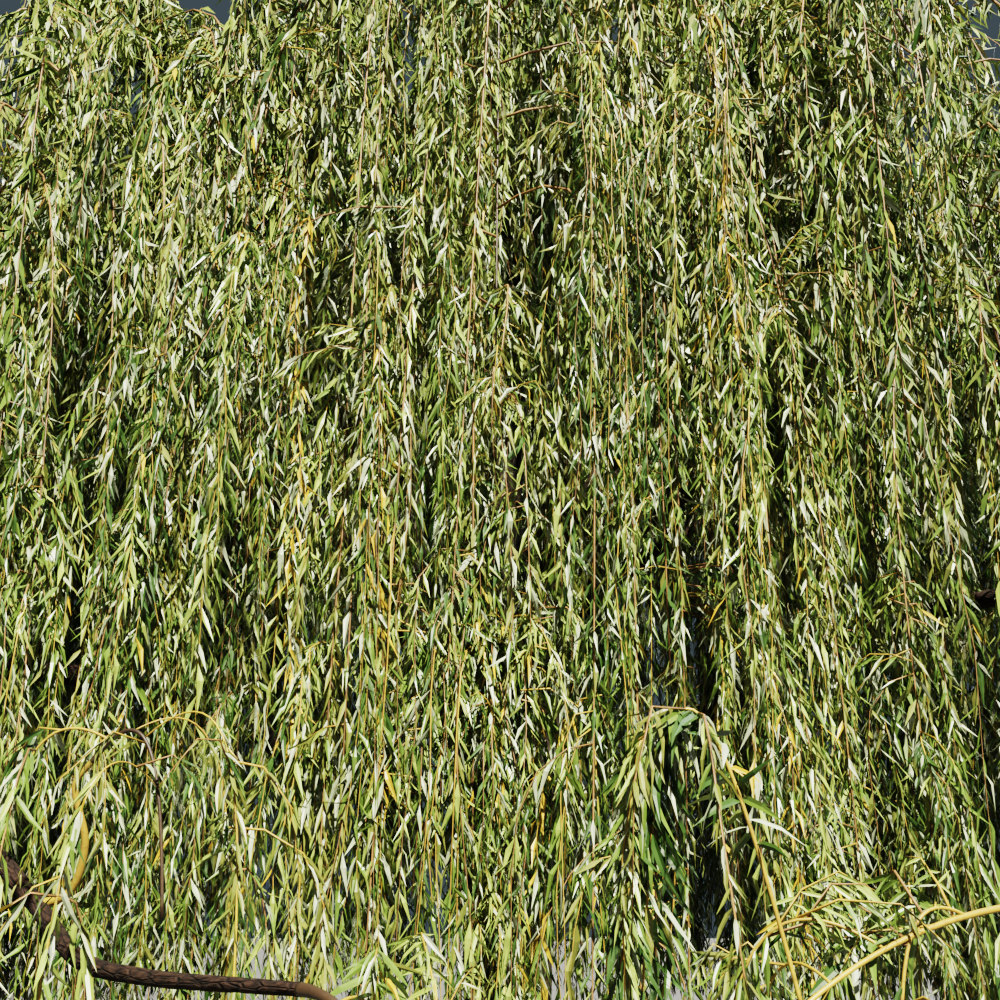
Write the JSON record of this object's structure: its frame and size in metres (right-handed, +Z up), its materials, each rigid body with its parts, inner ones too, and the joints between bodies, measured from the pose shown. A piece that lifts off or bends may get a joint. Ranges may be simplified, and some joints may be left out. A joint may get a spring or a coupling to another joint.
{
  "type": "weeping willow tree",
  "caption": "Golden weeping willow with a short flared trunk, rising limbs, arching boughs and long curtains of hanging shoots with narrow leaves.",
  "frame": {"origin": "middle of the flat cut under the trunk, at ground level", "axes": "+Z up the trunk, -Y towards the viewer of the picture, +X to the viewer's right"},
  "size_m": [8.5918, 10.974, 8.4074],
  "materials": {
    "trunk_bark": "rough furrowed bark",
    "bough_bark": "bark with shallow furrows",
    "foliage": "satin leaves",
    "brown_twigs": "smooth young bark",
    "golden_shoots": "smooth young bark",
    "leaves_fresh": "satin leaves",
    "leaves_mid": "satin leaves",
    "leaves_deep": "satin leaves",
    "leaves_olive": "satin leaves",
    "leaves_silver": "pale matt undersides of leaves",
    "leaves_yellow": "satin leaves"
  },
  "bodies": {
    "root": {"bough_1": "bough_bark", "bough_2": "bough_bark", "bough_3": "bough_bark", "bough_4": "bough_bark", "bough_5": "bough_bark", "bough_6": "bough_bark", "bough_7": "bough_bark", "bough_8": "bough_bark", "bough_9": "bough_bark", "foliage_low_left": "foliage", "foliage_low_left_upper": "foliage", "foliage_low_right": "foliage", "foliage_middle_1": "foliage", "foliage_middle_2": "foliage", "foliage_middle_3": "foliage", "foliage_middle_4": "foliage", "foliage_middle_5": "foliage", "foliage_outer_1": "foliage", "foliage_outer_2": "foliage", "foliage_outer_3": "foliage", "foliage_outer_4": "foliage", "foliage_outer_5": "foliage", "foliage_outer_6": "foliage", "foliage_outer_7": "foliage", "foliage_outer_8": "foliage", "foliage_outer_9": "foliage", "foliage_top": "foliage", "leader": "bough_bark", "limb_1": "bough_bark", "limb_2": "bough_bark", "limb_3": "bough_bark", "limb_4": "bough_bark", "limb_5": "bough_bark", "low_left_bough_inner": "bough_bark", "low_left_bough_outer": "bough_bark", "low_left_side_branch": "bough_bark", "low_right_bough_inner": "bough_bark", "low_right_bough_outer": "bough_bark", "trunk": "trunk_bark"}
  },
  "joints": []
}
